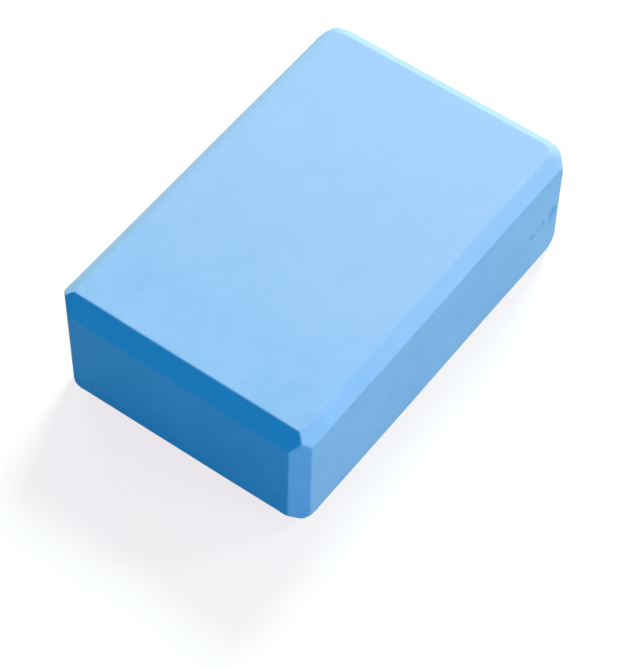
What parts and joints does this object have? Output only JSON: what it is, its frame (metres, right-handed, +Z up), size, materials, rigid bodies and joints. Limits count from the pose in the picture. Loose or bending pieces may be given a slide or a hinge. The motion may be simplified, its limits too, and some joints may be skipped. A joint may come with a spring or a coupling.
{
  "type": "foam block",
  "caption": "Solid rectangular block of firm closed-cell foam with a bevel along every edge, for propping, raising or supporting hands, feet or small loads.",
  "frame": {"origin": "centre of the bottom face, on the surface that the block rests on", "axes": "+X along the block's length, +Y across its width, +Z up through its thickness"},
  "size_m": [0.23, 0.15, 0.075],
  "materials": {
    "blue_foam": "matt, finely textured closed-cell foam"
  },
  "bodies": {
    "root": {"foam_block": "blue_foam"}
  },
  "joints": []
}
